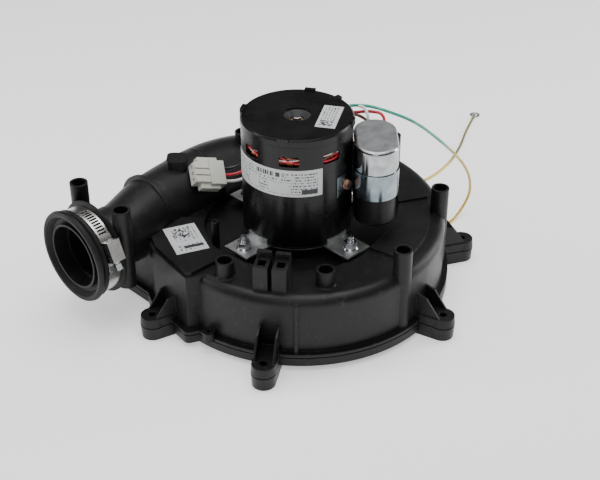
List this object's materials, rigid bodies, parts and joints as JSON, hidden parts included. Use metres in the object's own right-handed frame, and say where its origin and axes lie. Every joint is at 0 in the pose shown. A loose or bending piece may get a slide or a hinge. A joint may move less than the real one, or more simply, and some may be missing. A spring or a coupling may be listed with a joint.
{
  "type": "draft inducer blower",
  "caption": "Furnace combustion fan: black scroll housing with side duct and clamped rubber outlet, motor on top with run capacitor and leads.",
  "frame": {"origin": "on the motor, impeller and inlet axis, at the level of the mounting feet", "axes": "+Z along the motor axis from the inlet to the motor, -X the way the outlet faces, the duct runs along +Y side"},
  "size_m": [0.4972, 0.285, 0.1566],
  "materials": {
    "housing_plastic": "moulded, satin",
    "cover_plastic": "moulded, satin",
    "gasket_rubber": "matte",
    "coupling_rubber": "satin",
    "stainless": "brushed",
    "zinc_steel": "bright zinc",
    "impeller_plastic": "moulded",
    "brass": "satin",
    "ground_steel": "ground",
    "rotor_steel": "laminated",
    "zinc_plate": "zinc plated",
    "motor_paint": "gloss black",
    "grommet_rubber": "matte",
    "bearing_bronze": "sintered",
    "retainer_plastic": "grey",
    "copper_wire": "enamelled",
    "can_aluminium": "drawn, bright",
    "boot_rubber": "satin",
    "copper_screw": "copper plated",
    "white_nylon": "natural nylon",
    "tinned_terminal": "tinned",
    "label_white": "paper",
    "wire_green_yellow": "green with a yellow stripe",
    "wire_black": "insulation",
    "wire_red": "insulation",
    "wire_white": "insulation",
    "wire_brown": "insulation"
  },
  "bodies": {
    "root": {"black_lead": "wire_black", "bottom_cover": "cover_plastic", "capacitor_boot": "boot_rubber", "capacitor_brown_lead": "wire_brown", "capacitor_can": "can_aluminium", "capacitor_red_lead": "wire_red", "capacitor_strap": "zinc_plate", "capacitor_terminals": "brass", "clamp_band": "stainless", "clamp_housing": "stainless", "cover_gasket": "gasket_rubber", "cover_screws": "zinc_steel", "ear_nuts": "zinc_steel", "ear_studs": "zinc_steel", "ground_wire": "wire_green_yellow", "housing_label": "label_white", "inlet_gasket": "gasket_rubber", "lead_grommets": "grommet_rubber", "lower_bearing": "bearing_bronze", "lower_bearing_retainer": "retainer_plastic", "motor_bottom_bell": "motor_paint", "motor_shell": "motor_paint", "motor_top_cap": "motor_paint", "mounting_plate": "zinc_plate", "outlet_coupling": "coupling_rubber", "plug_terminals": "brass", "power_plug": "white_nylon", "red_lead": "wire_red", "ring_terminal": "tinned_terminal", "shaft_seal": "gasket_rubber", "stator_core": "rotor_steel", "stator_windings": "copper_wire", "strap_screw": "copper_screw", "top_label": "label_white", "upper_bearing": "bearing_bronze", "upper_bearing_retainer": "retainer_plastic", "volute_housing": "housing_plastic", "white_lead": "wire_white", "wrap_label": "label_white"},
    "rotor": {"rotor_shaft": "ground_steel", "rotor_core": "rotor_steel", "impeller": "impeller_plastic", "impeller_hub": "brass", "impeller_clip": "zinc_steel", "cooling_fan": "impeller_plastic"},
    "worm_screw": {"clamp_screw": "zinc_steel"}
  },
  "joints": [
    {"name": "rotor_spin", "type": "hinge", "parent": "root", "child": "rotor", "pos_m": [0, 0, 0.1], "axis": [0, 0, 1], "continuous": true},
    {"name": "clamp_screw_turn", "type": "hinge", "parent": "root", "child": "worm_screw", "pos_m": [-0.1386, 0.05096, 0.07533], "axis": [0, 0.4067, 0.9135], "continuous": true}
  ]
}
